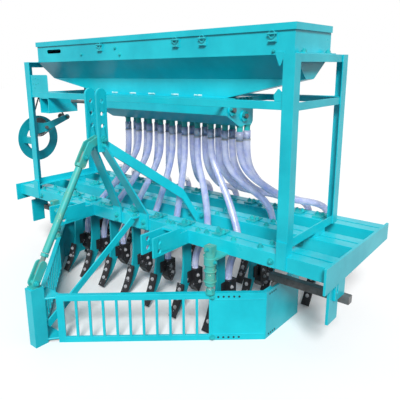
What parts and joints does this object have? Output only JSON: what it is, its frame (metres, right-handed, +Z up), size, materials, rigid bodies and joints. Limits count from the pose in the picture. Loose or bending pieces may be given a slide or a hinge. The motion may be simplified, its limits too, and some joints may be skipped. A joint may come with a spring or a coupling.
{
  "type": "tractor-mounted garlic planter",
  "caption": "Three-point-mounted planter: a lidded seed hopper and metering box feed clear hoses to shovel tines on three toolbars behind a barred V nose.",
  "frame": {"origin": "middle of the bounding box on the ground, under the toolbars", "axes": "+X along the toolbars to the right seen from the tractor, +Y to the rear, +Z up"},
  "size_m": [2.26, 1.385, 1.402],
  "materials": {
    "teal_paint": "gloss turquoise enamel over welded steel",
    "worn_paint": "turquoise enamel worn to bare steel at edges",
    "dark_steel": "oiled dark steel",
    "black_iron": "black paint scratched to bare iron",
    "clear_hose": "clear bluish flexible hose"
  },
  "bodies": {
    "frame": {"toolbar_front": "teal_paint", "toolbar_middle": "teal_paint", "toolbar_rear": "teal_paint", "end_plates": "teal_paint", "side_brackets": "teal_paint", "front_posts": "teal_paint", "rear_posts": "teal_paint", "foot_rails": "teal_paint", "mid_rails": "teal_paint", "top_rails": "teal_paint", "mid_bars": "teal_paint", "post_feet": "teal_paint", "hopper": "teal_paint", "metering_box": "teal_paint", "shaft_hanger": "teal_paint", "drive_plate": "teal_paint", "chain_guard": "teal_paint", "lower_hitches": "teal_paint", "masts": "teal_paint", "mast_brace": "teal_paint", "nose_post": "teal_paint", "leveller_grilles": "teal_paint", "leveller_panels": "teal_paint", "nose_brace": "teal_paint", "tine_shanks": "teal_paint", "stand_legs": "worn_paint", "latches": "worn_paint", "spouts": "worn_paint", "jacks": "worn_paint", "turnbuckle": "worn_paint", "tine_clamps": "worn_paint", "wing_supports": "dark_steel", "drive_chains": "dark_steel", "shovels": "black_iron", "seed_boots": "black_iron", "hose_front_01": "clear_hose", "hose_front_02": "clear_hose", "hose_front_03": "clear_hose", "hose_front_04": "clear_hose", "hose_front_05": "clear_hose", "hose_front_06": "clear_hose", "hose_front_07": "clear_hose", "hose_front_08": "clear_hose", "hose_front_09": "clear_hose", "hose_front_10": "clear_hose", "hose_rear_01": "clear_hose", "hose_rear_02": "clear_hose", "hose_rear_03": "clear_hose", "hose_rear_04": "clear_hose", "hose_rear_05": "clear_hose", "hose_rear_06": "clear_hose", "hose_rear_07": "clear_hose", "hose_rear_08": "clear_hose", "hose_rear_09": "clear_hose", "hose_rear_10": "clear_hose"},
    "lid": {"hopper_lid": "teal_paint"},
    "front_feed": {"feed_shaft_front": "dark_steel"},
    "rear_feed": {"feed_shaft_rear": "dark_steel"},
    "counter_drive": {"countershaft": "dark_steel"},
    "idler_wheel": {"idler": "dark_steel"}
  },
  "joints": [
    {"name": "lid_hinge", "type": "hinge", "parent": "frame", "child": "lid", "pos_m": [0, 0.381, 1.396], "axis": [-1, 0, 0], "range_deg": [0, 105]},
    {"name": "front_feed_turn", "type": "hinge", "parent": "frame", "child": "front_feed", "pos_m": [0, 0.149, 1.041], "axis": [1, 0, 0], "continuous": true},
    {"name": "rear_feed_turn", "type": "hinge", "parent": "frame", "child": "rear_feed", "pos_m": [0, 0.251, 1.007], "axis": [1, 0, 0], "continuous": true},
    {"name": "counter_turn", "type": "hinge", "parent": "frame", "child": "counter_drive", "pos_m": [0, 0.092, 0.868], "axis": [1, 0, 0], "continuous": true},
    {"name": "idler_turn", "type": "hinge", "parent": "frame", "child": "idler_wheel", "pos_m": [0, 0.264, 0.922], "axis": [1, 0, 0], "continuous": true}
  ],
  "couplings": [
    {"joint": "rear_feed_turn", "follows": "front_feed_turn", "ratio": 1},
    {"joint": "counter_turn", "follows": "front_feed_turn", "ratio": 0.76667},
    {"joint": "idler_turn", "follows": "front_feed_turn", "ratio": 2.0909}
  ]
}
